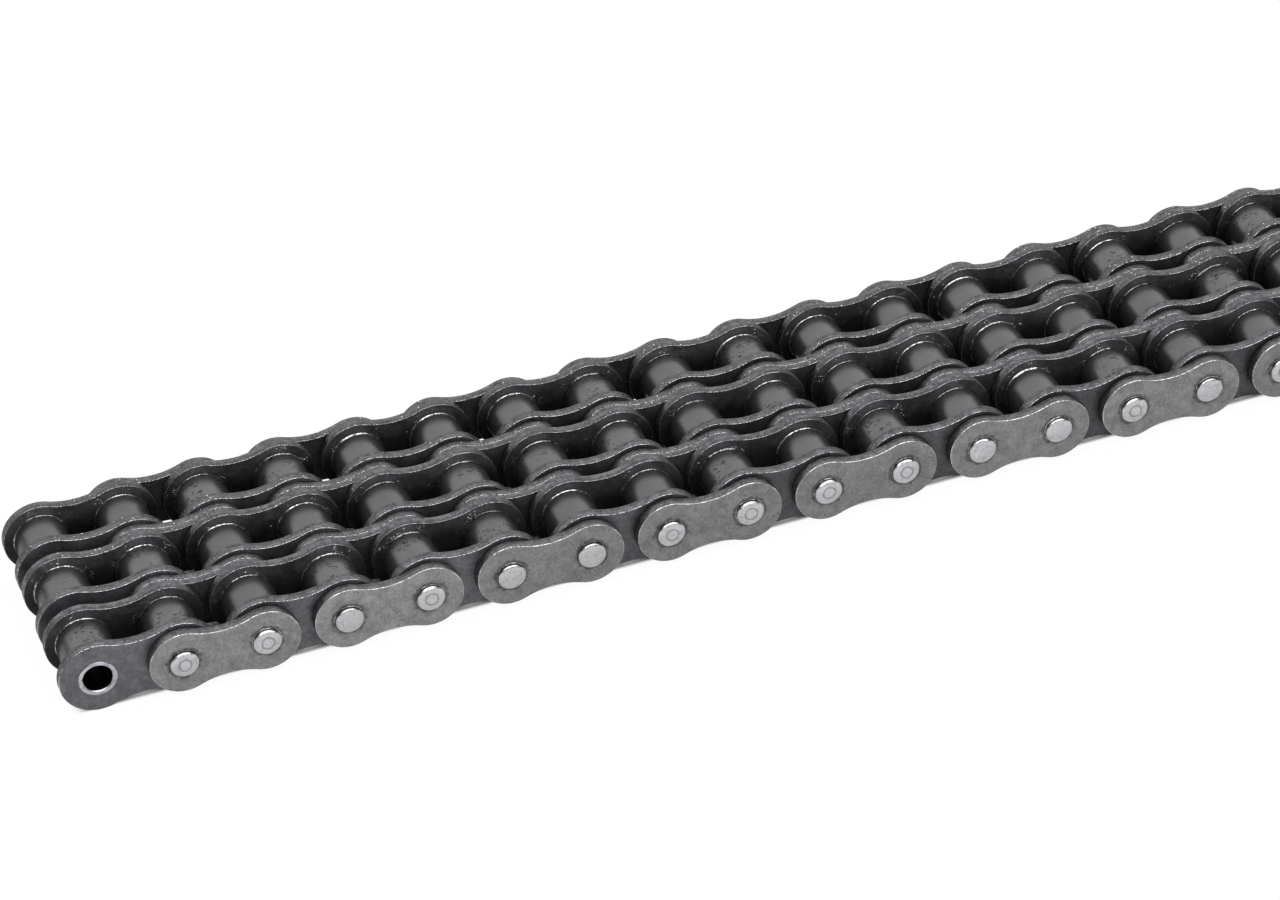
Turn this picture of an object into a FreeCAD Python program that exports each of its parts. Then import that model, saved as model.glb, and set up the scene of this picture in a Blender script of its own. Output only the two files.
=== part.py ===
import FreeCAD, Part
import os

# Triplex roller chain: a stretch of inner links and pin links, laid out straight.
# Millimetres. X runs along the chain, Y along the pins and Z is up.
# The origin is under the middle of the chain, on the surface that it lies on.
# The sizes are those of a standard chain of 12.7 mm pitch with three strands.

# Layout
PITCH = 12.7
INNER_LINK_COUNT = 9
STRAND_COUNT = 3

# The round stack, from the pin outwards
PIN_DIAMETER = 4.45
BUSH_WALL = 0.725
ROLLER_WALL = 1.23

# The stack across one strand, from the rollers outwards
INNER_WIDTH = 7.75
INNER_PLATE_THICKNESS = 1.55
BUSH_STAND_OUT = 0.17
OUTER_PLATE_THICKNESS = 1.55
CENTRE_PLATE_THICKNESS = 1.25
PIN_STAND_OUT = 0.75

# Plate outlines: the height over the rounded ends, and how deep each side is waisted
INNER_PLATE_HEIGHT = 11.7
INNER_WAIST_DEPTH = 1.15
PIN_LINK_PLATE_HEIGHT = 10.5
PIN_LINK_WAIST_DEPTH = 1.2

# Edges
PLATE_EDGE_ROUND = 0.22
ROLLER_EDGE_ROUND = 0.35
BUSH_MOUTH_CHAMFER = 0.15
PIN_END_ROUND = 0.4
SPUN_RING_WIDTH = 0.5
SPUN_RING_DEPTH = 0.07

# Clearances: the first three are on the radius, the others are gaps along the pin
PIN_RUNNING_CLEARANCE = 0.025
ROLLER_RUNNING_CLEARANCE = 0.05
CENTRE_PLATE_SLIP = 0.03
ROLLER_SIDE_CLEARANCE = 0.125
LINK_SIDE_CLEARANCE = 0.115

# Radii of the round stack
pin_radius = PIN_DIAMETER / 2
bush_bore_radius = pin_radius + PIN_RUNNING_CLEARANCE
bush_radius = bush_bore_radius + BUSH_WALL
roller_bore_radius = bush_radius + ROLLER_RUNNING_CLEARANCE
roller_radius = roller_bore_radius + ROLLER_WALL

# Places along the pin, measured from the middle of a strand or of the chain
roller_width = INNER_WIDTH - 2 * ROLLER_SIDE_CLEARANCE
bush_length = INNER_WIDTH + 2 * (INNER_PLATE_THICKNESS + BUSH_STAND_OUT)
strand_pitch = bush_length + 2 * (CENTRE_PLATE_THICKNESS + LINK_SIDE_CLEARANCE)
strand_middles = [(strand - (STRAND_COUNT - 1) / 2) * strand_pitch for strand in range(STRAND_COUNT)]
gap_middles = [middle + strand_pitch / 2 for middle in strand_middles[:-1]]
outer_plate_inside = strand_middles[-1] + bush_length / 2 + LINK_SIDE_CLEARANCE
pin_length = 2 * (outer_plate_inside + OUTER_PLATE_THICKNESS + PIN_STAND_OUT)

# Places along the chain: every axis carries rollers, and axes are numbered from 1
axis_count = 2 * INNER_LINK_COUNT
axis_height = max(INNER_PLATE_HEIGHT, PIN_LINK_PLATE_HEIGHT) / 2
CENTRE = FreeCAD.Vector(0, 0, 0)
ALONG_CHAIN = FreeCAD.Vector(1, 0, 0)
ALONG_PIN = FreeCAD.Vector(0, 1, 0)
SAME_PLACE = 1e-4


def axis_x(number):
    return (number - (axis_count + 1) / 2) * PITCH


def cylinder(radius, length):
    """A cylinder along Y, centred on the origin."""
    return Part.makeCylinder(radius, length, FreeCAD.Vector(0, -length / 2, 0), ALONG_PIN)


def edges_at(solid, y):
    """The edges of a solid that lie wholly in the plane at y."""
    level = [edge for edge in solid.Edges if edge.BoundBox.YLength < SAME_PLACE]
    return [edge for edge in level if abs(edge.Vertexes[0].Y - y) < SAME_PLACE]


def placed(solid, x, y):
    return solid.translated(FreeCAD.Vector(x, y, axis_height))


def export(node, solids):
    Part.makeCompound(solids).exportStep("parts/" + node + ".step")


def plate_outline(height, waist_depth):
    """A link plate's outline in the XZ plane: two round ends and two hollow waists, all tangent."""
    end_radius = height / 2
    end_x = PITCH / 2
    waist = end_radius - waist_depth
    waist_radius = (end_x**2 + waist**2 - end_radius**2) / (2 * waist_depth)
    reach = end_radius / (end_radius + waist_radius)
    touch_x = end_x * (1 - reach)
    touch_z = (waist + waist_radius) * reach
    arcs = []
    for side in (1, -1):
        end_start = FreeCAD.Vector(side * touch_x, 0, side * touch_z)
        end_stop = FreeCAD.Vector(side * touch_x, 0, -side * touch_z)
        waist_stop = FreeCAD.Vector(-side * touch_x, 0, -side * touch_z)
        arcs.append(Part.Arc(end_start, FreeCAD.Vector(side * (end_x + end_radius), 0, 0), end_stop))
        arcs.append(Part.Arc(end_stop, FreeCAD.Vector(0, 0, -side * waist), waist_stop))
    return Part.Wire([arc.toShape() for arc in arcs])


def link_plate(height, waist_depth, thickness, hole_radius):
    """A link plate from y = 0 to y = thickness, with its punched edge rounded on the far face."""
    blank = Part.Face(plate_outline(height, waist_depth)).extrude(ALONG_PIN * thickness)
    edge_round = min(PLATE_EDGE_ROUND, thickness / 3)
    plate = blank.makeFillet(edge_round, edges_at(blank, thickness))
    punch = cylinder(hole_radius, 3 * thickness)
    for side in (-1, 1):
        plate = plate.cut(punch.translated(ALONG_CHAIN * (side * PITCH / 2)))
    return plate.Solids[0]


def turned_over(plate):
    """The same plate with its rounded edge facing -Y, from y = -thickness to y = 0."""
    return plate.rotated(CENTRE, ALONG_CHAIN, 180)


def make_bush():
    bush = cylinder(bush_radius, bush_length).cut(cylinder(bush_bore_radius, bush_length))
    end_edges = edges_at(bush, -bush_length / 2) + edges_at(bush, bush_length / 2)
    mouths = [edge for edge in end_edges if edge.Curve.Radius < bush_radius - SAME_PLACE]
    return bush.makeChamfer(min(BUSH_MOUTH_CHAMFER, BUSH_WALL / 3), mouths).Solids[0]


def make_roller():
    body = cylinder(roller_radius, roller_width)
    rims = edges_at(body, -roller_width / 2) + edges_at(body, roller_width / 2)
    body = body.makeFillet(min(ROLLER_EDGE_ROUND, ROLLER_WALL / 3), rims)
    return body.cut(cylinder(roller_bore_radius, 2 * roller_width)).Solids[0]


def make_pin():
    """A pin with rounded ends and the shallow ring that riveting spins into each of them."""
    end = pin_length / 2
    body = cylinder(pin_radius, pin_length)
    pin = body.makeFillet(PIN_END_ROUND, edges_at(body, -end) + edges_at(body, end))
    ring_radius = (pin_radius - PIN_END_ROUND) / 2
    tool_radius = ((SPUN_RING_WIDTH / 2) ** 2 + SPUN_RING_DEPTH**2) / (2 * SPUN_RING_DEPTH)
    tool_y = end - SPUN_RING_DEPTH + tool_radius
    for side in (-1, 1):
        tool = Part.makeTorus(ring_radius, tool_radius, FreeCAD.Vector(0, side * tool_y, 0), ALONG_PIN)
        pin = pin.cut(tool)
    return pin.Solids[0]


def make_inner_link(number):
    """Two plates and two bushes in every strand."""
    first, second = 2 * number - 1, 2 * number
    middle_x = (axis_x(first) + axis_x(second)) / 2
    plate_y = INNER_WIDTH / 2
    plates = []
    bushes = []
    for middle in strand_middles:
        plates.append(placed(turned_over(inner_plate), middle_x, middle - plate_y))
        plates.append(placed(inner_plate, middle_x, middle + plate_y))
        bushes += [placed(bush, axis_x(axis), middle) for axis in (first, second)]
    export(f"inner_plates_{number}", plates)
    export(f"bushes_{number}", bushes)


def make_pin_link(number):
    """Two pins through all strands, an outer plate at each side and two plates between strands."""
    first, second = 2 * number, 2 * number + 1
    middle_x = (axis_x(first) + axis_x(second)) / 2
    outer_plates = [
        placed(turned_over(outer_plate), middle_x, -outer_plate_inside),
        placed(outer_plate, middle_x, outer_plate_inside),
    ]
    centre_plates = []
    for gap in gap_middles:
        centre_plates.append(placed(centre_plate, middle_x, gap - CENTRE_PLATE_THICKNESS))
        centre_plates.append(placed(turned_over(centre_plate), middle_x, gap + CENTRE_PLATE_THICKNESS))
    export(f"outer_plates_{number}", outer_plates)
    export(f"centre_plates_{number}", centre_plates)
    export(f"pins_{number}", [placed(pin, axis_x(axis), 0) for axis in (first, second)])


def make_roller_row(axis):
    """The rollers of all strands on one axis."""
    export(f"rollers_{axis:02d}", [placed(roller, axis_x(axis), middle) for middle in strand_middles])


os.makedirs("parts", exist_ok=True)
inner_plate = link_plate(INNER_PLATE_HEIGHT, INNER_WAIST_DEPTH, INNER_PLATE_THICKNESS, bush_radius)
outer_plate = link_plate(PIN_LINK_PLATE_HEIGHT, PIN_LINK_WAIST_DEPTH, OUTER_PLATE_THICKNESS, pin_radius)
centre_plate = link_plate(
    PIN_LINK_PLATE_HEIGHT, PIN_LINK_WAIST_DEPTH, CENTRE_PLATE_THICKNESS, pin_radius + CENTRE_PLATE_SLIP
)
bush = make_bush()
roller = make_roller()
pin = make_pin()
for link in range(1, INNER_LINK_COUNT + 1):
    make_inner_link(link)
for link in range(1, INNER_LINK_COUNT):
    make_pin_link(link)
for axis in range(1, axis_count + 1):
    make_roller_row(axis)
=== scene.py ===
import math
import random

import bmesh
import bpy
from mathutils import Matrix, Vector
from mathutils.geometry import tessellate_polygon


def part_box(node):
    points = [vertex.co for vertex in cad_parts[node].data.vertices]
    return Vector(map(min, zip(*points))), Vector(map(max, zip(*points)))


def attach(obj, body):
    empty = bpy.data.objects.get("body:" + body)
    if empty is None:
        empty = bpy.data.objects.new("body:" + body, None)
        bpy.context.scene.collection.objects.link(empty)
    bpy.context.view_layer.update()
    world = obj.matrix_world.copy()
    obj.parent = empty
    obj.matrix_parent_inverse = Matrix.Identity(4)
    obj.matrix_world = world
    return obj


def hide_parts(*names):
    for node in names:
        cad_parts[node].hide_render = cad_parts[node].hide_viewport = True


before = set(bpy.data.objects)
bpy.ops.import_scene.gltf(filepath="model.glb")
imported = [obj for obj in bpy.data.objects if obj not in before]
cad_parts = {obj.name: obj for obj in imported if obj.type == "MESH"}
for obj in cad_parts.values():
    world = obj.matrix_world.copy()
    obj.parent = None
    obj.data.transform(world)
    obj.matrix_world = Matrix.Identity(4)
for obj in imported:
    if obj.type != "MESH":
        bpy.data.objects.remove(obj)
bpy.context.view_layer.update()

MM = 0.001

# What the frame's boxes don't give, as it is on the solids
PLATE_THICKNESS = 1.55 * MM
INNER_WAIST_DEPTH = 1.15 * MM
PIN_LINK_WAIST_DEPTH = 1.2 * MM
ROLLER_WIDTH = 7.5 * MM
ROLLER_WALL = 1.23 * MM
ROLLER_EDGE_ROUND = 0.35 * MM
BUSH_WALL = 0.725 * MM
BUSH_MOUTH_CHAMFER = 0.15 * MM
PIN_END_ROUND = 0.4 * MM

# Rounded edges as light shows them: outer plates, all other plates, and edges that are sharp on the solids
OUTER_PLATE_ROUND = 0.18 * MM
INNER_PLATE_ROUND = 0.12 * MM
BACK_EDGE_ROUND = 0.07 * MM

# A pin end as riveting leaves it: its rounded rim, dome, spun ring and flats. The pairs are ranges. Domes,
# ring depths and flat starts are in millimetres, and a slope is how steeply a flat falls outwards.
PIN_RIM_WIDTH = 1.15 * MM
PIN_DOMES = (0.08, 0.18)
SPUN_RING_RADIUS = 0.95 * MM
SPUN_RING_WIDTH = 0.25 * MM
SPUN_RING_DEPTHS = (0.0, 0.02, 0.05)
MOST_FLATS = 3
FLAT_STARTS = (0.3, 0.9)
FLAT_SLOPES = (0.06, 0.2)

# How much of a rounded rim's wear the mouth of a bush gets
MOUTH_RIM = 0.6

# How finely round stretches are divided, and the narrow flat beside each that keeps its shading apart
END_STEPS = 44
WAIST_STEPS = 12
ROUND_STEPS = 3
TURN_STEPS = 56
TURN_ANGLES = [2 * math.pi * step / TURN_STEPS for step in range(TURN_STEPS)]
PIN_FACE_STEPS = 9
PIN_ROUND_STEPS = 7
SHOULDER = 0.05 * MM

# Smooth shading breaks at edges sharper than this
SHARP_ANGLE = math.radians(38)

# Oil: how far it is sunk into what it lies on, and its hollow from one foot (1, 0) to the other (0, 1)
BEAD_SINK = 0.02 * MM
BEAD_HOLLOW = [(1.0, 0.0), (0.62, 0.14), (0.36, 0.32), (0.16, 0.6), (0.0, 1.0)]
FILLET_HOLLOW = [(1.0, 0.0), (0.72, 0.2), (0.45, 0.44), (0.2, 0.7), (0.0, 1.0)]

# In millimetres, how wide a bead is round a pin and how high a fillet climbs round a roller, and how far each
# wanders, in how many waves
BEAD_REACH = 0.09
BEAD_WANDER = 0.045
BEAD_WAVES = 5
FILLET_CLIMB = 0.06
FILLET_WANDER = 0.035
FILLET_WAVES = 3

# Those waves: the range of their strengths, how fast short ones fade, and where their sum is cut off
WAVE_STRENGTHS = (0.3, 1.0)
WAVE_FADE = 0.7
WAVE_LIMIT = 1.2

# Where on the roller's rounded rim a fillet ends, and how far off it stays
FILLET_LEAN = math.radians(40)
FILLET_GAP = 0.02 * MM

# Finish round a pin axis, in millimetres from it: the ring that the press leaves and the band that stays wet
PRESSED_RING = (3.1, 3.3, 3.6)
WET_BAND = (3.9, 4.3, 5.2, 5.8)

# Thin oil on steel, as a colour
BROWN_OIL = (0.1, 0.095, 0.07)

# Each kind of piece starts its random draws from its own seed, plus its number
FIRST_SEEDS = {
    "inner plates": 100,
    "bushes": 200,
    "outer plates": 300,
    "centre plates": 400,
    "pins": 500,
    "oil beads": 600,
    "rollers": 700,
    "oil fillets": 800,
}

# The photograph's camera, fitted to the outline of the chain and its pin ends
PHOTO_WIDTH = 1280
FOCAL_LENGTH_PX = 4525
CAMERA_YAW = math.radians(16.182)
CAMERA_PITCH = math.radians(35.951)
CAMERA_ROLL = math.radians(5.05)
CAMERA_PLACE = Vector((-174.6, -544.4, 417.6)) * MM
SENSOR_WIDTH = 36

# The floor: its half width, how far from the chain its painted shade is felt, and its glow, seen and
# reflected
FLOOR_REACH = 3.0
SHELTER_REACH = 12 * MM
FLOOR_GLOW = 0.97
FLOOR_GLOW_REFLECTED = 0.2

# The floor's grey as the camera sees it, as metal mirrors it and as it lights the chain
FLOOR_SEEN = 0.06
FLOOR_MIRRORED = 0.85
FLOOR_LIGHTING = 0.8

# How white the floor stays to the camera beside the chain, as a share of its glow
OPEN_FLOOR = 0.98

# The studio's light: the place, width, height and power of each softbox, in metres and watts, and the room
FRONT_SOFTBOX = ((0.12, -0.98, 0.72), 1.6, 1.0, 12.5)
BACK_SOFTBOX = ((0.0, 0.95, 0.73), 2.8, 1.1, 14.0)
ROOM_COLOUR = (0.96, 0.98, 1.0)
ROOM_STRENGTH = 0.07


def size(node):
    low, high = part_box(node)
    return high - low


def middle(node):
    low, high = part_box(node)
    return (low + high) / 2


LINKS = sum(node.startswith("inner_plates_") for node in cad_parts)
AXES = sum(node.startswith("rollers_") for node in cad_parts)
axis_x = [middle(f"rollers_{number:02d}").x for number in range(1, AXES + 1)]
axis_z = middle("rollers_01").z
pitch = (axis_x[-1] - axis_x[0]) / (AXES - 1)
strand_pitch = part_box("rollers_01")[1].y - ROLLER_WIDTH / 2
strand_middles = [-strand_pitch, 0, strand_pitch]
roller_radius = size("rollers_01").z / 2
bush_radius = size("bushes_1").z / 2
bush_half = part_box("bushes_1")[1].y - strand_pitch
pin_radius = size("pins_1").z / 2
pin_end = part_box("pins_1")[1].y
outer_plate_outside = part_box("outer_plates_1")[1].y
inner_plate_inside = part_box("inner_plates_1")[1].y - strand_pitch - PLATE_THICKNESS
centre_plate_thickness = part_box("centre_plates_1")[1].y - strand_pitch / 2


class Shape:
    """A closed form: points, what each of them carries, and faces, each with its zone, which is its material.
    A point carries rim, 1 in the middle of a rounded edge, and depth, 0 to 1 through a plate's thickness."""

    def __init__(self):
        self.points = []
        self.rims = []
        self.depths = []
        self.faces = []
        self.zones = []

    def add_ring(self, ring, rim=0.0, depth=0.0):
        start = len(self.points)
        self.points += ring
        self.rims += [rim] * len(ring)
        self.depths += [depth] * len(ring)
        return start

    def add_faces(self, faces, zone):
        self.faces += faces
        self.zones += [zone] * len(faces)

    def join_rings(self, first, second, count, zone):
        steps = [(step, (step + 1) % count) for step in range(count)]
        self.add_faces([(first + a, first + b, second + b, second + a) for a, b in steps], zone)

    def face_outwards(self):
        """Turns every face so that its front is outside."""
        mesh = bmesh.new()
        corners = [mesh.verts.new(point) for point in self.points]
        made = [mesh.faces.new([corners[i] for i in face]) for face in self.faces]
        mesh.verts.index_update()
        bmesh.ops.recalc_face_normals(mesh, faces=made)
        self.faces = [tuple(vert.index for vert in face.verts) for face in made]
        mesh.free()
        return self


class Piece:
    """Shapes gathered into one mesh, each at its own place and with its own tone."""

    def __init__(self, kind, number):
        self.random = random.Random(FIRST_SEEDS[kind] + number)
        self.points = []
        self.faces = []
        self.zones = []
        self.rims = []
        self.depths = []
        self.tones = []

    def add(self, shape, x, y, z, mirrored=False):
        start = len(self.points)
        flip = -1 if mirrored else 1
        self.points += [(px + x, flip * py + y, pz + z) for px, py, pz in shape.points]
        for face in shape.faces:
            corners = reversed(face) if mirrored else face
            self.faces.append([start + i for i in corners])
        self.zones += shape.zones
        self.rims += shape.rims
        self.depths += shape.depths
        self.tones += [self.random.random()] * len(shape.points)

    def make(self, name, materials, body, node=None):
        mesh = bpy.data.meshes.new(name)
        mesh.from_pydata(self.points, [], self.faces)
        mesh.polygons.foreach_set("material_index", self.zones)
        for label, values in (("rim", self.rims), ("depth", self.depths), ("tone", self.tones)):
            mesh.attributes.new(label, "FLOAT", "POINT").data.foreach_set("value", values)
        for material in materials:
            mesh.materials.append(material)
        mesh.shade_smooth()
        mesh.set_sharp_from_angle(angle=SHARP_ANGLE)
        piece = bpy.data.objects.new(name, mesh)
        bpy.context.scene.collection.objects.link(piece)
        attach(piece, body)
        if node:
            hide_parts(node)


def plate_outline(height, waist_depth):
    """Points and outward normals (x, z, nx, nz) round a link plate: two round ends, two hollow waists."""
    end_radius = height / 2
    end_x = pitch / 2
    waist = end_radius - waist_depth
    waist_radius = (end_x**2 + waist**2 - end_radius**2) / (2 * waist_depth)
    lean = math.atan2(end_x, waist + waist_radius)
    outline = []
    for side in (1, -1):
        for step in range(END_STEPS):
            angle = (math.pi / 2 + lean) * (1 - 2 * step / END_STEPS)
            nx, nz = side * math.cos(angle), side * math.sin(angle)
            outline.append((side * end_x + end_radius * nx, end_radius * nz, nx, nz))
        for step in range(WAIST_STEPS):
            angle = lean * (1 - 2 * step / WAIST_STEPS)
            nx, nz = -side * math.sin(angle), -side * math.cos(angle)
            outline.append((-waist_radius * nx, -side * (waist + waist_radius) - waist_radius * nz, nx, nz))
    return outline


def make_plate(height, waist_depth, thickness, hole_radius, front):
    """A link plate from y = 0 to y = thickness. front is how much its edge is rounded at the far face.
    Zone 0 is its faces and zone 1 its punched edge."""
    outline = plate_outline(height, waist_depth)
    count = len(outline)
    quarter = [math.pi / 2 * step / ROUND_STEPS for step in range(ROUND_STEPS + 1)]
    back = BACK_EDGE_ROUND
    back_round = []
    front_round = []
    for turn in quarter:
        rim = math.sin(2 * turn)
        back_round.append((back * (1 - math.sin(turn)), back * (1 - math.cos(turn)), rim))
        front_round.append((front * (1 - math.cos(turn)), thickness - front * (1 - math.sin(turn)), rim))
    flank = [(0.0, back + SHOULDER, 0.0), (0.0, thickness - front - SHOULDER, 0.0)]
    back_face = (back + SHOULDER, 0.0, 0.0)
    front_face = (front + SHOULDER, thickness, 0.0)
    profile = [back_face] + back_round + flank + front_round + [front_face]
    plate = Shape()
    rings = []
    for inset, y, rim in profile:
        ring = [(x - inset * nx, y, z - inset * nz) for x, z, nx, nz in outline]
        rings.append(plate.add_ring(ring, rim, y / thickness))
    edge_start = len(back_round)
    for index in range(len(rings) - 1):
        on_edge = edge_start <= index <= edge_start + len(flank)
        plate.join_rings(rings[index], rings[index + 1], count, 1 if on_edge else 0)
    holes = {}
    for y in (0.0, thickness):
        for side in (-1, 1):
            centre = side * pitch / 2
            circle = []
            for angle in TURN_ANGLES:
                circle.append((centre + hole_radius * math.cos(angle), y, hole_radius * math.sin(angle)))
            holes[y, side] = plate.add_ring(circle, depth=y / thickness)
    for side in (-1, 1):
        plate.join_rings(holes[0.0, side], holes[thickness, side], TURN_STEPS, 0)
    for y, ring in ((0.0, rings[0]), (thickness, rings[-1])):
        loops = [range(ring, ring + count)]
        loops += [range(holes[y, side], holes[y, side] + TURN_STEPS) for side in (-1, 1)]
        flat = [[Vector((plate.points[i][0], plate.points[i][2], 0)) for i in loop] for loop in loops]
        index_of = [i for loop in loops for i in loop]
        plate.add_faces([tuple(index_of[i] for i in face) for face in tessellate_polygon(flat)], 0)
    return plate.face_outwards()


def make_turned(profile, closed=False):
    """A form turned about Y. profile(angle) lists (radius, y, rim, zone), and a zone is that of the band that
    follows. A closed profile is a ring, and any other starts and ends on the axis."""
    shape = Shape()
    stations = [profile(angle) for angle in TURN_ANGLES]
    steps = [(step, (step + 1) % TURN_STEPS) for step in range(TURN_STEPS)]
    rings = []
    for index, (radius, y, rim, _) in enumerate(stations[0]):
        if radius == 0:
            rings.append(shape.add_ring([(0.0, y, 0.0)], rim))
            continue
        ring = []
        for angle, station in zip(TURN_ANGLES, stations):
            station_radius, station_y = station[index][:2]
            ring.append((station_radius * math.cos(angle), station_y, station_radius * math.sin(angle)))
        rings.append(shape.add_ring(ring, rim))
    last = len(rings) if closed else len(rings) - 1
    for index in range(last):
        following = (index + 1) % len(rings)
        here, there = rings[index], rings[following]
        zone = stations[0][index][3]
        if stations[0][index][0] == 0:
            shape.add_faces([(here, there + a, there + b) for a, b in steps], zone)
        elif stations[0][following][0] == 0:
            shape.add_faces([(there, here + a, here + b) for a, b in steps], zone)
        else:
            shape.join_rings(here, there, TURN_STEPS, zone)
    return shape.face_outwards()


def corner(radius, y, reach, end):
    """The rounded corner of a turned form, from its face at y over to its barrel.
    end is 1 or -1, the way it faces."""
    points = []
    for step in range(ROUND_STEPS + 1):
        angle = math.pi / 2 * step / ROUND_STEPS
        inset, drop = reach * (1 - math.sin(angle)), reach * (1 - math.cos(angle))
        points.append((radius - inset, y - end * drop, math.sin(2 * angle), 0))
    return points + [(radius, y - end * (reach + SHOULDER), 0, 0)]


def roller_profile(_):
    half = ROLLER_WIDTH / 2
    bore = roller_radius - ROLLER_WALL
    face = roller_radius - ROLLER_EDGE_ROUND - SHOULDER
    left = corner(roller_radius, -half, ROLLER_EDGE_ROUND, -1)
    right = corner(roller_radius, half, ROLLER_EDGE_ROUND, 1)[::-1]
    return left + right + [(face, half, 0, 0), (bore, half, 0, 0), (bore, -half, 0, 0), (face, -half, 0, 0)]


def bush_profile(_):
    """Zone 0 is the outside, the end rings and the mouths, zone 1 the bore."""
    bore = bush_radius - BUSH_WALL
    mouth = BUSH_MOUTH_CHAMFER
    left = corner(bush_radius, -bush_half, BACK_EDGE_ROUND, -1)
    right = corner(bush_radius, bush_half, BACK_EDGE_ROUND, 1)[::-1]
    inside = [
        (bore + mouth, bush_half, MOUTH_RIM, 0),
        (bore, bush_half - mouth, 0, 1),
        (bore, -bush_half + mouth, 0, 0),
        (bore + mouth, -bush_half, MOUTH_RIM, 0),
    ]
    return left + right + inside


def pin_profile(seed):
    """A riveted pin: slightly domed ends with a spun groove and a few flats left by the riveting tool.
    Zone 0 is an end and zone 1 the barrel."""
    chance = random.Random(seed)
    dome = chance.uniform(*PIN_DOMES) * MM
    groove_depth = chance.choice(SPUN_RING_DEPTHS) * MM
    flats = []
    for _ in range(chance.randint(1, MOST_FLATS)):
        turn = chance.uniform(0, 2 * math.pi)
        start = chance.uniform(*FLAT_STARTS) * MM
        flats.append((turn, start, chance.uniform(*FLAT_SLOPES)))
    flat_edge = pin_radius - PIN_RIM_WIDTH

    def height(radius, angle):
        y = pin_end - dome * (radius / pin_radius) ** 2
        y -= groove_depth * max(0.0, 1 - abs(radius - SPUN_RING_RADIUS) / SPUN_RING_WIDTH)
        for turn, start, slope in flats:
            y -= slope * max(0.0, radius * math.cos(angle - turn) - start)
        return y

    def profile(angle):
        end = [(flat_edge * step / PIN_FACE_STEPS, 0.0, 0) for step in range(PIN_FACE_STEPS + 1)]
        for step in range(1, PIN_ROUND_STEPS + 1):
            lean = math.pi / 2 * step / PIN_ROUND_STEPS
            radius = flat_edge + PIN_RIM_WIDTH * math.sin(lean)
            end.append((radius, PIN_END_ROUND * (1 - math.cos(lean)), math.sin(lean)))
        near = [(r, height(min(r, flat_edge), angle if r else 0.0) - drop, rim, 0) for r, drop, rim in end]
        near[-1] = near[-1][:3] + (1,)
        near.append((pin_radius, near[-1][1] - SHOULDER, 0, 1))
        return near + [(r, -y, rim, 0) for r, y, rim, _ in near[::-1]]

    return profile


def wander(seed, most_turns):
    """A smooth closed wave round an axis, roughly from -1 to 1."""
    chance = random.Random(seed)
    waves = []
    for turns in range(1, most_turns + 1):
        start = chance.uniform(0, 2 * math.pi)
        waves.append((turns, start, chance.uniform(*WAVE_STRENGTHS) / turns**WAVE_FADE))

    def wave(angle):
        height = sum(strength * math.sin(turns * angle + start) for turns, start, strength in waves)
        return max(-WAVE_LIMIT, min(WAVE_LIMIT, height))

    return wave


def bead_profile(seed):
    """The bead of oil round a pin where it leaves the outer plate: thin and hollow, with a wandering edge."""
    wave = wander(seed, BEAD_WAVES)
    start = outer_plate_outside
    inner = pin_radius - BEAD_SINK

    def profile(angle):
        reach = (BEAD_REACH + BEAD_WANDER * wave(angle)) * MM
        over = [(pin_radius + reach * a, start + reach * b, 0, 0) for a, b in BEAD_HOLLOW]
        base = (pin_radius + reach, start - BEAD_SINK, 0, 0)
        return [base] + over + [(inner, start + reach, 0, 0), (inner, start - BEAD_SINK, 0, 0)]

    return profile


def fillet_profile(seed):
    """Oil on the plate's face at y = 0, round a roller's rounded rim and a hair off it, so that the roller
    turns free. How far the oil climbs up the plate wanders round the roller."""
    wave = wander(seed, FILLET_WAVES)
    side_gap = inner_plate_inside - ROLLER_WIDTH / 2
    inner = roller_radius - ROLLER_EDGE_ROUND
    reach = ROLLER_EDGE_ROUND + FILLET_GAP
    rim_radius = inner + reach * math.sin(FILLET_LEAN)
    rim_y = side_gap + ROLLER_EDGE_ROUND - reach * math.cos(FILLET_LEAN)

    def profile(angle):
        top = roller_radius + (FILLET_CLIMB + FILLET_WANDER * wave(angle)) * MM
        over = [(rim_radius + (top - rim_radius) * b, rim_y * a, 0, 0) for a, b in FILLET_HOLLOW]
        return [(top, -BEAD_SINK, 0, 0)] + over[::-1] + [(inner, -BEAD_SINK, 0, 0)]

    return profile


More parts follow.
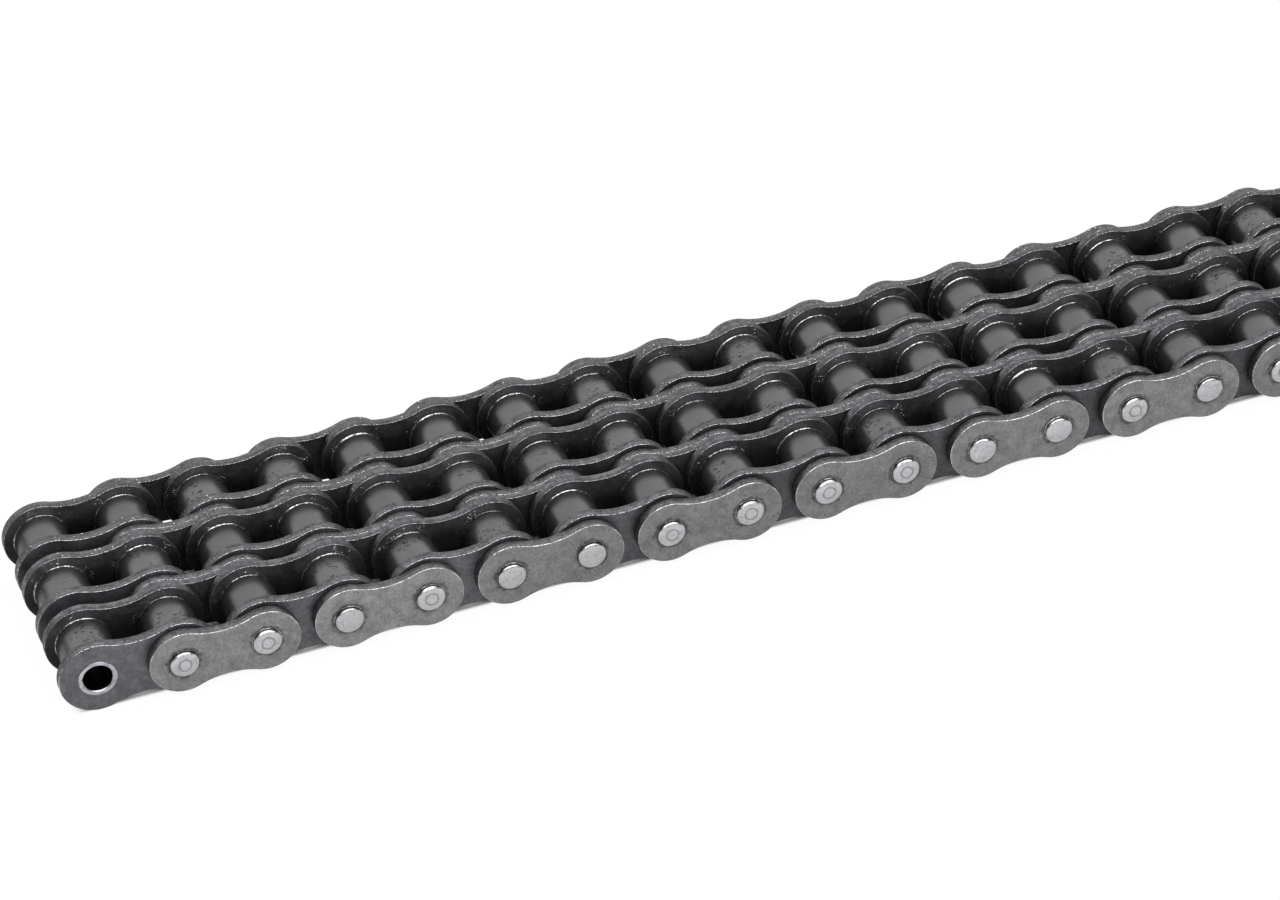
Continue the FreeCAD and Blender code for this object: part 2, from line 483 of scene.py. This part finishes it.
class Net:
    """Short ways to add nodes to a material or a node group. Lengths in it are millimetres."""

    def __init__(self, tree):
        self.tree = tree

    def feed(self, socket, value):
        if isinstance(value, bpy.types.NodeSocket):
            self.tree.links.new(value, socket)
        else:
            socket.default_value = value

    def node(self, kind, **settings):
        made = self.tree.nodes.new(kind)
        for name, value in settings.items():
            setattr(made, name, value)
        return made

    def math(self, operation, first, second=0.0):
        made = self.node("ShaderNodeMath", operation=operation)
        self.feed(made.inputs[0], first)
        self.feed(made.inputs[1], second)
        return made.outputs[0]

    def product(self, first, *others):
        for other in others:
            first = self.math("MULTIPLY", first, other)
        return first

    def total(self, first, *others):
        for other in others:
            first = self.math("ADD", first, other)
        return first

    def place(self):
        """The place on the piece at rest, in millimetres."""
        coordinates = self.node("ShaderNodeTexCoord")
        scale = self.node("ShaderNodeVectorMath", operation="SCALE")
        self.feed(scale.inputs[0], coordinates.outputs["Object"])
        scale.inputs["Scale"].default_value = 1 / MM
        return scale.outputs[0]

    def split(self, vector):
        made = self.node("ShaderNodeSeparateXYZ")
        self.feed(made.inputs[0], vector)
        return made.outputs

    def stretched(self, vector, x, y, z):
        """The same place with its axes divided by x, y and z, so that a pattern is that long along each."""
        parts = self.split(vector)
        joined = self.node("ShaderNodeCombineXYZ")
        for index, length in enumerate((x, y, z)):
            self.feed(joined.inputs[index], self.math("DIVIDE", parts[index], length))
        return joined.outputs[0]

    def noise(self, vector, size=1.0, detail=3.0, roughness=0.55, distortion=0.0):
        made = self.node("ShaderNodeTexNoise")
        settings = {"Vector": vector, "Detail": detail, "Roughness": roughness, "Distortion": distortion}
        for name, value in settings.items():
            self.feed(made.inputs[name], value)
        self.feed(made.inputs["Scale"], self.math("DIVIDE", 1.0, size))
        return made.outputs[0]

    def step(self, value, low, high, to_low=0.0, to_high=1.0):
        """A smooth step of value, from to_low at low to to_high at high."""
        made = self.node("ShaderNodeMapRange", interpolation_type="SMOOTHSTEP")
        settings = {"Value": value, "From Min": low, "From Max": high, "To Min": to_low, "To Max": to_high}
        for name, number in settings.items():
            self.feed(made.inputs[name], number)
        return made.outputs[0]

    def change(self, mask, without, where):
        """A value that goes from without, at a mask of 0, to where, at a mask of 1."""
        return self.step(mask, 0.0, 1.0, without, where)

    def band(self, value, *edges):
        """A mask that rises between the first two edges and falls between the last two."""
        return self.product(self.step(value, *edges[:2]), self.step(value, *edges[-2:], 1.0, 0.0))

    def blend(self, amount, first, second):
        made = self.node("ShaderNodeMix", data_type="RGBA")
        self.feed(made.inputs["Factor"], amount)
        colours = [socket for socket in made.inputs if socket.type == "RGBA"]
        self.feed(colours[0], first)
        self.feed(colours[1], second)
        return next(socket for socket in made.outputs if socket.type == "RGBA")

    def shade(self, colour, value):
        """A colour made lighter or darker by a value round 1."""
        made = self.node("ShaderNodeVectorMath", operation="SCALE")
        made.inputs[0].default_value = colour
        self.feed(made.inputs["Scale"], value)
        return made.outputs[0]

    def mark(self, name):
        """A value that the mesh carries."""
        return self.node("ShaderNodeAttribute", attribute_name=name).outputs["Fac"]

    def group(self, tree, **values):
        made = self.node("ShaderNodeGroup", node_tree=tree)
        for name, value in values.items():
            self.feed(made.inputs[name], value)
        return made.outputs


def make_group(name, inputs, outputs):
    """A node group with number inputs, given with their defaults, and number outputs."""
    tree = bpy.data.node_groups.new(name, "ShaderNodeTree")
    for label, value in inputs.items():
        tree.interface.new_socket(label, in_out="INPUT", socket_type="NodeSocketFloat").default_value = value
    for label in outputs:
        tree.interface.new_socket(label, in_out="OUTPUT", socket_type="NodeSocketFloat")
    net = Net(tree)
    return net, net.node("NodeGroupInput").outputs, net.node("NodeGroupOutput").inputs


def pin_axis_group():
    """Where a point lies round the nearest pin axis, in millimetres: how far out, and how high above it."""
    net, _, out = make_group("round the pin axis", {}, ["Distance", "Height"])
    parts = net.split(net.place())
    along = net.math("SUBTRACT", parts[0], (axis_x[0] - pitch / 2) / MM)
    along = net.math("SUBTRACT", net.math("FLOORED_MODULO", along, pitch / MM), pitch / MM / 2)
    height = net.math("SUBTRACT", parts[2], axis_z / MM)
    squares = net.total(net.product(along, along), net.product(height, height))
    net.feed(out["Distance"], net.math("SQRT", squares))
    net.feed(out["Height"], height)
    return net.tree


def steel_group():
    """The mottle of rolled and tumbled steel: fine grain, broad clouds and fine marks drawn along Z."""
    inputs = {"Grain size": 0.3, "Cloud size": 1.6, "Marks": 0.4}
    net, given, out = make_group("tumbled steel", inputs, ["Shade", "Relief"])
    place = net.place()
    grain = net.noise(place, given["Grain size"], detail=4.0, roughness=0.65)
    clouds = net.noise(place, given["Cloud size"], detail=4.0, roughness=0.6, distortion=0.5)
    marks = net.noise(net.stretched(place, 0.16, 0.16, 1.7), roughness=0.6)
    patchy = net.product(net.step(net.noise(place, size=2.6, detail=2.0), 0.42, 0.62), given["Marks"])
    shade = net.step(grain, 0.3, 0.7, 0.82, 1.18)
    shade = net.product(shade, net.step(clouds, 0.32, 0.68, 0.85, 1.15))
    drawn = net.product(net.math("SUBTRACT", marks, 0.5), patchy)
    net.feed(out["Shade"], net.total(shade, net.product(drawn, 2.2)))
    net.feed(out["Relief"], net.total(grain, drawn))
    return net.tree


def oil_group():
    """Where oil lies thicker. Cover is the share of the surface, and Size is how wide its patches are."""
    net, given, out = make_group("oil film", {"Cover": 0.5, "Size": 3.0, "Softness": 0.1}, ["Film"])
    patches = net.noise(net.place(), given["Size"], detail=5.0, roughness=0.6, distortion=0.4)
    edge = net.math("SUBTRACT", 0.75, net.product(given["Cover"], 0.5))
    low = net.math("SUBTRACT", edge, given["Softness"])
    net.feed(out["Film"], net.step(patches, low, net.total(edge, given["Softness"])))
    return net.tree


def bubble_group():
    """Oil that stands in small drops and bubbles. Cover is where it may be, from 0 to 1."""
    net, given, out = make_group("oil bubbles", {"Cover": 1.0, "Size": 0.3}, ["Wet", "Relief"])
    place = net.place()
    cells = net.node("ShaderNodeTexVoronoi", feature="SMOOTH_F1")
    net.feed(cells.inputs["Vector"], place)
    net.feed(cells.inputs["Scale"], net.math("DIVIDE", 1.0, given["Size"]))
    patches = net.noise(place, size=1.8, roughness=0.6, distortion=0.6)
    wet = net.product(net.step(patches, 0.58, 0.66), given["Cover"])
    net.feed(out["Wet"], wet)
    net.feed(out["Relief"], net.product(net.step(cells.outputs["Distance"], 0.6, 0.05), wet))
    return net.tree


def speck_group():
    """Small round specks. Share is how many of the cells hold one."""
    net, given, out = make_group("specks", {"Size": 0.25, "Share": 0.2}, ["Specks"])
    cells = net.node("ShaderNodeTexVoronoi", feature="F1")
    net.feed(cells.inputs["Vector"], net.place())
    net.feed(cells.inputs["Scale"], net.math("DIVIDE", 1.0, given["Size"]))
    chance = net.node("ShaderNodeSeparateColor")
    net.feed(chance.inputs[0], cells.outputs["Color"])
    chosen = net.math("LESS_THAN", chance.outputs[0], given["Share"])
    net.feed(out["Specks"], net.product(chosen, net.step(cells.outputs["Distance"], 0.45, 0.1)))
    return net.tree


def rim_group():
    """Bare, polished metal on rounded rims. It breaks up along their length."""
    net, given, out = make_group("rim wear", {"Wear": 0.7, "Length": 1.5}, ["Bare"])
    place = net.place()
    kept = net.noise(place, given["Length"], detail=4.0, roughness=0.7)
    kept = net.step(kept, 0.38, 0.58, 0.3, 1.0)
    glitter = net.noise(place, size=0.27, detail=2.0, roughness=0.6)
    glitter = net.step(glitter, 0.42, 0.58, 0.05, 1.6)
    on_rim = net.step(net.mark("rim"), 0.4, 0.95)
    net.feed(out["Bare"], net.math("MINIMUM", net.product(on_rim, kept, glitter, given["Wear"]), 1.0))
    return net.tree


PIN_AXIS = pin_axis_group()
STEEL = steel_group()
OIL = oil_group()
BUBBLES = bubble_group()
SPECKS = speck_group()
RIM = rim_group()


def new_material(name, metallic=1.0):
    material = bpy.data.materials.new(name)
    material.use_nodes = True
    shader = material.node_tree.nodes["Principled BSDF"]
    shader.inputs["Metallic"].default_value = metallic
    return material, Net(material.node_tree), shader.inputs


def set_relief(net, sockets, height, depth):
    """Relief of the given depth, in millimetres where the height runs from 0 to 1."""
    bump = net.node("ShaderNodeBump")
    net.feed(bump.inputs["Height"], height)
    bump.inputs["Distance"].default_value = depth * MM
    net.feed(sockets["Normal"], bump.outputs[0])


def grey(value, blue=0.0):
    """A grey. blue is how much more blue than red it has, as a share."""
    return (value, value, value * (1 + blue))


def opaque(colour):
    return colour + (1.0,)


def tone(net, spread):
    """A shade that differs a little from solid to solid."""
    return net.change(net.mark("tone"), 1 - spread, 1 + spread)


def painted_light_falloff(net, darkest):
    """Painted shade that falls from the second axis to the middle of the chain and stays low beyond, as light
    falls off.
    """
    along = net.split(net.place())[0]
    chain_middle = (axis_x[0] + axis_x[-1]) / 2
    return net.step(along, axis_x[1] / MM, chain_middle / MM, 1.0, darkest)


def outer_plate_face():
    """The outside of a pin link: satin steel, tumbled and smudged, pressed and oily round each pin. It
    carries painted shade.
    """
    material, net, sockets = new_material("outer plate face", metallic=0.7)
    steel = net.group(STEEL, **{"Grain size": 0.4, "Cloud size": 1.9, "Marks": 0.35})
    film = net.group(OIL, Cover=0.4, Size=3.0)["Film"]
    smudge = net.group(OIL, Cover=0.35, Size=0.8)["Film"]
    pits = net.group(SPECKS, Size=0.5, Share=0.12)["Specks"]
    glints = net.group(SPECKS, Size=0.36, Share=0.03)["Specks"]
    bare = net.group(RIM, Wear=1.6, Length=1.2)["Bare"]
    distance = net.group(PIN_AXIS)["Distance"]
    # Darker in a ragged ring round each pin: oil, and painted shade where the pin stands out of the plate
    ragged = net.step(net.noise(net.place(), size=0.7, detail=4.0, roughness=0.6), 0.35, 0.75, 0.0, 0.6)
    ragged = net.math("SUBTRACT", distance, ragged)
    pin_edge = pin_radius / MM
    oily = net.step(ragged, pin_edge, pin_edge + 0.5, 0.45, 1.0)
    pressed = net.band(distance, *PRESSED_RING)
    # Painted shade: the inside face, towards the inner plates, is painted darker
    painted_shade = net.step(net.mark("depth"), 0.0, 0.4, 0.22, 1.0)
    # Painted shade also falls along the chain, as the light falls off
    value = net.product(steel["Shade"], tone(net, 0.07), oily, painted_shade, painted_light_falloff(net, 0.89))
    value = net.product(value, net.change(film, 1.03, 0.92), net.change(smudge, 1.01, 0.92))
    value = net.product(value, net.change(pits, 1.0, 0.72), net.change(pressed, 1.0, 0.94))
    base = net.blend(net.product(glints, 0.6), net.shade(grey(0.31, 0.02), value), opaque(grey(0.55)))
    near_pin = net.step(ragged, pin_edge, pin_edge + 1.1, 0.3, 0.0)
    near_pin = net.product(near_pin, net.step(net.mark("tone"), 0.3, 0.9, 0.1, 1.0))
    base = net.blend(near_pin, base, opaque(BROWN_OIL))
    net.feed(sockets["Base Color"], net.blend(bare, base, opaque(grey(0.9))))
    rough = net.total(0.44, net.product(film, -0.08), net.product(bare, -0.27))
    net.feed(sockets["Roughness"], rough)
    relief = net.total(steel["Relief"], net.product(pits, -0.8), net.product(pressed, -0.5))
    set_relief(net, sockets, relief, depth=0.012)
    return material


def inner_plate_face():
    """An inner or intermediate plate: darker and oilier, with drops standing round the rollers. It carries
    painted shade and painted glints.
    """
    material, net, sockets = new_material("inner plate face", metallic=0.8)
    steel = net.group(STEEL, **{"Grain size": 0.3, "Cloud size": 1.8, "Marks": 0.25})
    film = net.group(OIL, Cover=0.5, Size=2.4)["Film"]
    around = net.group(PIN_AXIS)
    depth = net.mark("depth")
    roller_side = net.step(depth, 0.3, 0.7, 1.0, 0.0)
    above = net.step(around["Height"], 0.0, 2.5)
    near = net.product(net.band(around["Distance"], *WET_BAND), above, roller_side)
    drops = net.group(BUBBLES, Cover=near, Size=0.34)
    bare = net.group(RIM, Wear=1.4, Length=0.9)["Bare"]
    # Painted shade: the roller side is painted darker, most at and below the pin axis and less towards the
    # top
    low = net.step(around["Height"], 0.0, 5.5, 0.72, 0.0)
    painted_shade = net.product(net.step(depth, 0.0, 0.6, 1.0, 0.0), low)
    value = net.product(steel["Shade"], tone(net, 0.08), net.change(film, 1.03, 0.85))
    value = net.product(value, net.math("SUBTRACT", 1.0, painted_shade), net.change(drops["Wet"], 1.0, 0.85))
    # Painted shade: the outward faces darken along the chain, as the light falls off
    value = net.product(value, net.step(depth, 0.5, 0.9, 1.0, painted_light_falloff(net, 0.6)))
    steel_grey = net.shade(grey(0.183, 0.07), value)
    # Painted glints: the tops of the oil drops are painted pale
    base = net.blend(net.product(drops["Relief"], 0.7), steel_grey, opaque(grey(0.9)))
    net.feed(sockets["Base Color"], net.blend(bare, base, opaque(grey(0.8, 0.03))))
    rough = net.total(0.44, net.product(film, -0.1), net.product(drops["Wet"], -0.26))
    net.feed(sockets["Roughness"], net.total(rough, net.product(bare, -0.26)))
    relief = net.total(net.product(steel["Relief"], 0.12), net.product(drops["Relief"], 1.5))
    set_relief(net, sockets, relief, depth=0.1)
    return material


def punched_edge():
    """The punched edge of a link plate: burnished next to its face and torn beyond, with patches of wet oil.
    They grow towards the far strand and hold small sparks."""
    material, net, sockets = new_material("punched edge", metallic=0.75)
    steel = net.group(STEEL, **{"Grain size": 0.26, "Cloud size": 1.1, "Marks": 0.0})
    ragged = net.product(net.noise(net.place(), size=0.9, detail=4.0, roughness=0.6), 0.5)
    torn = net.step(net.total(net.mark("depth"), ragged), 0.68, 0.78, 1.0, 0.0)
    glints = net.group(SPECKS, Size=0.24, Share=0.1)["Specks"]
    bare = net.group(RIM, Wear=0.9, Length=0.7)["Bare"]
    patches = net.group(OIL, Cover=0.55, Size=1.7, Softness=0.06)["Film"]
    across = net.split(net.place())[1]
    wet = net.product(patches, net.step(across, -6.0, 12.0, 0.2, 1.0))
    sparks = net.product(net.group(SPECKS, Size=0.32, Share=0.06)["Specks"], wet)
    value = net.product(net.step(steel["Shade"], 0.75, 1.25, 0.5, 1.5), net.change(torn, 1.08, 0.82))
    base = net.blend(net.product(glints, 0.8), net.shade(grey(0.157, 0.05), value), opaque(grey(0.5)))
    base = net.blend(net.product(wet, 0.62), base, opaque(grey(0.05)))
    base = net.blend(net.math("MINIMUM", net.product(sparks, 2.0), 1.0), base, opaque(grey(0.95)))
    net.feed(sockets["Base Color"], net.blend(bare, base, opaque(grey(0.6, 0.03))))
    rough = net.total(0.5, net.product(torn, 0.05), net.product(wet, -0.26), net.product(bare, -0.18))
    net.feed(sockets["Roughness"], rough)
    lumps = net.product(net.noise(net.place(), size=0.5, detail=2.0, roughness=0.5), wet, 1.5)
    set_relief(net, sockets, net.total(steel["Relief"], lumps), depth=0.04)
    return material


def roller_steel():
    """A roller: smooth satin steel. About half of them carry patches of short, dark scratches."""
    material, net, sockets = new_material("roller steel", metallic=0.66)
    steel = net.group(STEEL, **{"Grain size": 0.35, "Cloud size": 2.2, "Marks": 0.0})
    film = net.group(OIL, Cover=0.4, Size=2.2)["Film"]
    strokes = net.stretched(net.place(), 1.5, 0.8, 1.5)
    strokes = net.noise(strokes, size=0.5, detail=4.0, roughness=0.7, distortion=0.6)
    patches = net.step(net.noise(net.place(), size=2.2, detail=2.0), 0.49, 0.54)
    scratch = net.product(net.step(strokes, 0.55, 0.6), patches, net.step(net.mark("tone"), 0.45, 0.55))
    bare = net.group(RIM, Wear=0.8, Length=2.0)["Bare"]
    value = net.product(net.step(steel["Shade"], 0.8, 1.2, 0.95, 1.05), tone(net, 0.08))
    value = net.product(value, net.change(film, 1.03, 0.94), net.change(scratch, 1.0, 0.15))
    base = net.shade(grey(0.122, 0.03), value)
    net.feed(sockets["Base Color"], net.blend(bare, base, opaque(grey(0.35))))
    net.feed(sockets["Roughness"], net.total(0.31, net.product(film, -0.05), net.product(bare, -0.08)))
    set_relief(net, sockets, net.total(steel["Relief"], net.product(scratch, -1.0)), depth=0.008)
    return material


def pin_end_steel():
    """A riveted pin's end: bright, with a worn rim. Some show the tool's dark ring and faint circles."""
    material, net, sockets = new_material("spun pin end")
    steel = net.group(STEEL, **{"Grain size": 0.28, "Cloud size": 1.0, "Marks": 0.35})
    distance = net.group(PIN_AXIS)["Distance"]
    wobbly = net.total(distance, net.product(net.noise(net.place(), size=1.1), 0.35))
    circles = net.math("SINE", net.product(wobbly, 19.0))
    circles = net.product(circles, net.step(net.mark("tone"), 0.3, 0.9))
    off_ring = net.math("ABSOLUTE", net.math("SUBTRACT", wobbly, SPUN_RING_RADIUS / MM + 0.2))
    ring = net.product(net.step(off_ring, 0.08, 0.24, 1.0, 0.0), net.step(net.mark("tone"), 0.45, 0.6))
    rounded = net.step(net.mark("rim"), 0.15, 0.6)
    smudge = net.group(OIL, Cover=0.3, Size=0.7)["Film"]
    mottle = net.step(steel["Shade"], 0.7, 1.3, 0.9, 1.1)
    value = net.product(mottle, tone(net, 0.06), net.step(circles, -1.0, 1.0, 0.93, 1.05))
    value = net.product(value, net.change(smudge, 1.04, 0.8))
    value = net.product(value, net.step(net.mark("rim"), 0.9, 1.0, 1.0, 0.3), net.change(ring, 1.0, 0.6))
    net.feed(sockets["Base Color"], net.shade(grey(0.66, 0.03), value))
    rough = net.total(0.36, net.product(smudge, -0.08), net.product(rounded, -0.12))
    net.feed(sockets["Roughness"], rough)
    set_relief(net, sockets, net.total(steel["Relief"], net.product(circles, 0.4)), depth=0.02)
    return material


def pin_barrel_steel():
    """The side of a pin, black with oil."""
    material, net, sockets = new_material("oily pin barrel")
    film = net.group(OIL, Cover=0.5, Size=0.6)["Film"]
    net.feed(sockets["Base Color"], net.shade(grey(0.1), net.change(film, 1.1, 0.65)))
    net.feed(sockets["Roughness"], net.change(film, 0.4, 0.28))
    set_relief(net, sockets, film, depth=0.01)
    return material


def bush_steel(name, shade):
    """A bush: bright where it is turned, and dull and oily in its bore. The bore's dark grey is partly
    painted shade.
    """
    material, net, sockets = new_material(name)
    steel = net.group(STEEL, **{"Grain size": 0.25, "Cloud size": 1.3, "Marks": 0.0})
    smudge = net.group(OIL, Cover=0.45, Size=0.9)["Film"]
    value = net.product(net.step(steel["Shade"], 0.7, 1.3, 0.9, 1.1), net.change(smudge, 1.06, 0.75))
    net.feed(sockets["Base Color"], net.shade(grey(shade, 0.08), value))
    net.feed(sockets["Roughness"], net.change(smudge, 0.36, 0.26))
    set_relief(net, sockets, steel["Relief"], depth=0.01)
    return material


def standing_oil():
    """Oil in beads and fillets on dark steel: smooth and wet, with glints that break up along it."""
    material, net, sockets = new_material("standing oil", metallic=0.9)
    lumps = net.noise(net.place(), size=0.9, detail=2.0, roughness=0.5)
    film = net.group(OIL, Cover=0.5, Size=0.5)["Film"]
    value = net.product(net.change(film, 0.35, 1.45), net.step(net.mark("tone"), 0.0, 0.9, 0.35, 1.2))
    net.feed(sockets["Base Color"], net.shade(grey(0.46, -0.03), value))
    net.feed(sockets["Roughness"], net.step(lumps, 0.3, 0.7, 0.14, 0.26))
    set_relief(net, sockets, lumps, depth=0.012)
    return material


OUTER_FACE = outer_plate_face()
INNER_FACE = inner_plate_face()
EDGE = punched_edge()
ROLLER = roller_steel()
PIN_END = pin_end_steel()
PIN_BARREL = pin_barrel_steel()
BUSH = bush_steel("turned bush", shade=0.62)
# The bore is painted nearly black: oil, and painted shade deep in the hole
BORE = bush_steel("bush bore", shade=0.06)
OIL_BEAD = standing_oil()


def build_inner_links():
    height = size("inner_plates_1").z
    plate = make_plate(height, INNER_WAIST_DEPTH, PLATE_THICKNESS, bush_radius, INNER_PLATE_ROUND)
    bush = make_turned(bush_profile, closed=True)
    for number in range(1, LINKS + 1):
        axes = axis_x[2 * number - 2 : 2 * number]
        middle_x = sum(axes) / 2
        plates = Piece("inner plates", number)
        bushes = Piece("bushes", number)
        fillets = Piece("oil fillets", number)
        for strand in strand_middles:
            plates.add(plate, middle_x, strand - inner_plate_inside, axis_z, mirrored=True)
            plates.add(plate, middle_x, strand + inner_plate_inside, axis_z)
            for x in axes:
                bushes.add(bush, x, strand, axis_z)
                for end in (-1, 1):
                    fillet = make_turned(fillet_profile(fillets.random.random()), closed=True)
                    fillets.add(fillet, x, strand + end * inner_plate_inside, axis_z, mirrored=end > 0)
        body = f"inner_link_{number}"
        fillets.make(f"oil_fillets_{number}", [OIL_BEAD], body)
        node = f"inner_plates_{number}"
        plates.make(f"inner_plate_set_{number}", [INNER_FACE, EDGE], body, node)
        bushes.make(f"bush_set_{number}", [BUSH, BORE], body, f"bushes_{number}")


def build_pin_links():
    height = size("outer_plates_1").z
    outer = make_plate(height, PIN_LINK_WAIST_DEPTH, PLATE_THICKNESS, pin_radius, OUTER_PLATE_ROUND)
    centre = make_plate(height, PIN_LINK_WAIST_DEPTH, centre_plate_thickness, pin_radius, INNER_PLATE_ROUND)
    inside = outer_plate_outside - PLATE_THICKNESS
    for number in range(1, LINKS):
        axes = axis_x[2 * number - 1 : 2 * number + 1]
        middle_x = sum(axes) / 2
        outers = Piece("outer plates", number)
        outers.add(outer, middle_x, -inside, axis_z, mirrored=True)
        outers.add(outer, middle_x, inside, axis_z)
        centres = Piece("centre plates", number)
        for gap in (-strand_pitch / 2, strand_pitch / 2):
            centres.add(centre, middle_x, gap - centre_plate_thickness, axis_z)
            centres.add(centre, middle_x, gap + centre_plate_thickness, axis_z, mirrored=True)
        pins = Piece("pins", number)
        beads = Piece("oil beads", number)
        for x in axes:
            pins.add(make_turned(pin_profile(pins.random.random())), x, 0.0, axis_z)
            for mirrored in (False, True):
                bead = make_turned(bead_profile(beads.random.random()), closed=True)
                beads.add(bead, x, 0.0, axis_z, mirrored)
        body = f"pin_link_{number}"
        node = f"outer_plates_{number}"
        outers.make(f"outer_plate_pair_{number}", [OUTER_FACE, EDGE], body, node)
        node = f"centre_plates_{number}"
        centres.make(f"centre_plate_set_{number}", [INNER_FACE, EDGE], body, node)
        pins.make(f"pin_pair_{number}", [PIN_END, PIN_BARREL], body, f"pins_{number}")
        beads.make(f"oil_beads_{number}", [OIL_BEAD], body)


def build_rollers():
    roller = make_turned(roller_profile, closed=True)
    for number in range(1, AXES + 1):
        row = Piece("rollers", number)
        for strand in strand_middles:
            row.add(roller, axis_x[number - 1], strand, axis_z)
        name, body, node = f"roller_set_{number:02d}", f"roller_row_{number:02d}", f"rollers_{number:02d}"
        row.make(name, [ROLLER], body, node)


def floor_material():
    """White to the camera and pale in reflections. It keeps the chain's shadow, with painted shade deep below
    it.
    """
    material = bpy.data.materials.new("white floor")
    material.use_nodes = True
    net = Net(material.node_tree)
    nodes = material.node_tree.nodes
    nodes.remove(nodes["Principled BSDF"])

    def lit(colour, glow):
        pale = net.node("ShaderNodeBsdfDiffuse")
        net.feed(pale.inputs["Color"], colour)
        light = net.node("ShaderNodeEmission")
        net.feed(light.inputs["Strength"], glow)
        both = net.node("ShaderNodeAddShader")
        net.feed(both.inputs[0], pale.outputs[0])
        net.feed(both.inputs[1], light.outputs[0])
        return both.outputs[0]

    def choose(amount, first, second):
        both = net.node("ShaderNodeMixShader")
        net.feed(both.inputs[0], amount)
        net.feed(both.inputs[1], first)
        net.feed(both.inputs[2], second)
        return both.outputs[0]

    # Painted shade: ambient occlusion dims the floor's glow, and its grey in reflections, under the chain
    shelter = net.node("ShaderNodeAmbientOcclusion", samples=8)
    shelter.inputs["Distance"].default_value = SHELTER_REACH
    sheltered = net.step(shelter.outputs["AO"], 0.1, 0.5, 0.01, 1.0)

    # Painted shade: only the floor under the chain and between its strands goes dark to the camera
    place = net.split(net.place())
    behind = net.math("GREATER_THAN", place[1], (strand_pitch + bush_half) / MM)
    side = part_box("inner_plates_1")[1].y / MM
    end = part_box(f"inner_plates_{LINKS}")[1].x / MM
    beside = net.step(net.math("ABSOLUTE", place[1]), side - 1, side, 0.0, OPEN_FLOOR)
    ahead = net.step(net.math("ABSOLUTE", place[0]), end - 3, end - 1, 0.0, OPEN_FLOOR)
    open_floor = net.math("MAXIMUM", sheltered, behind)
    open_floor = net.math("MAXIMUM", open_floor, net.math("MAXIMUM", beside, ahead))

    path = net.node("ShaderNodeLightPath").outputs
    seen = net.math("MAXIMUM", path["Is Camera Ray"], path["Is Transmission Ray"])
    mirrored_glow = net.product(sheltered, FLOOR_GLOW_REFLECTED)
    mirrored = lit(net.shade(grey(FLOOR_MIRRORED), sheltered), mirrored_glow)
    reflected = choose(path["Is Glossy Ray"], lit(opaque(grey(FLOOR_LIGHTING)), 0.0), mirrored)
    white = lit(opaque(grey(FLOOR_SEEN)), net.product(open_floor, FLOOR_GLOW))
    surface = choose(seen, reflected, white)
    net.feed(nodes["Material Output"].inputs["Surface"], surface)
    return material


def build_floor():
    mesh = bpy.data.meshes.new("floor")
    reach = FLOOR_REACH
    corners = [(-reach, -reach, 0), (reach, -reach, 0), (reach, reach, 0), (-reach, reach, 0)]
    mesh.from_pydata(corners, [], [(0, 1, 2, 3)])
    mesh.materials.append(floor_material())
    floor = bpy.data.objects.new("floor", mesh)
    bpy.context.scene.collection.objects.link(floor)


def add_area(name, place, width, height, power):
    """A soft area light that looks at the middle of the chain."""
    data = bpy.data.lights.new(name, "AREA")
    data.shape = "RECTANGLE"
    data.size = width
    data.size_y = height
    data.energy = power
    light = bpy.data.objects.new(name, data)
    bpy.context.scene.collection.objects.link(light)
    light.location = place
    light.rotation_euler = (-Vector(place)).to_track_quat("-Z", "Y").to_euler()


def build_light():
    world = bpy.data.worlds.new("studio")
    world.use_nodes = True
    background = world.node_tree.nodes["Background"]
    background.inputs["Color"].default_value = opaque(ROOM_COLOUR)
    background.inputs["Strength"].default_value = ROOM_STRENGTH
    bpy.context.scene.world = world
    add_area("front softbox", *FRONT_SOFTBOX)
    add_area("back softbox", *BACK_SOFTBOX)


def build_camera():
    yaw, tilt, roll = CAMERA_YAW, CAMERA_PITCH, CAMERA_ROLL
    ahead = Vector((math.sin(yaw) * math.cos(tilt), math.cos(yaw) * math.cos(tilt), -math.sin(tilt)))
    level = Vector((math.cos(yaw), -math.sin(yaw), 0))
    down = ahead.cross(level)
    right = math.cos(roll) * level + math.sin(roll) * down
    below = -math.sin(roll) * level + math.cos(roll) * down
    data = bpy.data.cameras.new("camera")
    data.sensor_fit = "HORIZONTAL"
    data.sensor_width = SENSOR_WIDTH
    data.lens = SENSOR_WIDTH * FOCAL_LENGTH_PX / PHOTO_WIDTH
    camera = bpy.data.objects.new("camera", data)
    bpy.context.scene.collection.objects.link(camera)
    turn = Matrix((right, -below, -ahead)).transposed().to_4x4()
    camera.matrix_world = Matrix.Translation(CAMERA_PLACE) @ turn
    bpy.context.scene.camera = camera


build_inner_links()
build_pin_links()
build_rollers()
build_floor()
build_light()
build_camera()
bpy.context.scene.view_settings.view_transform = "Standard"
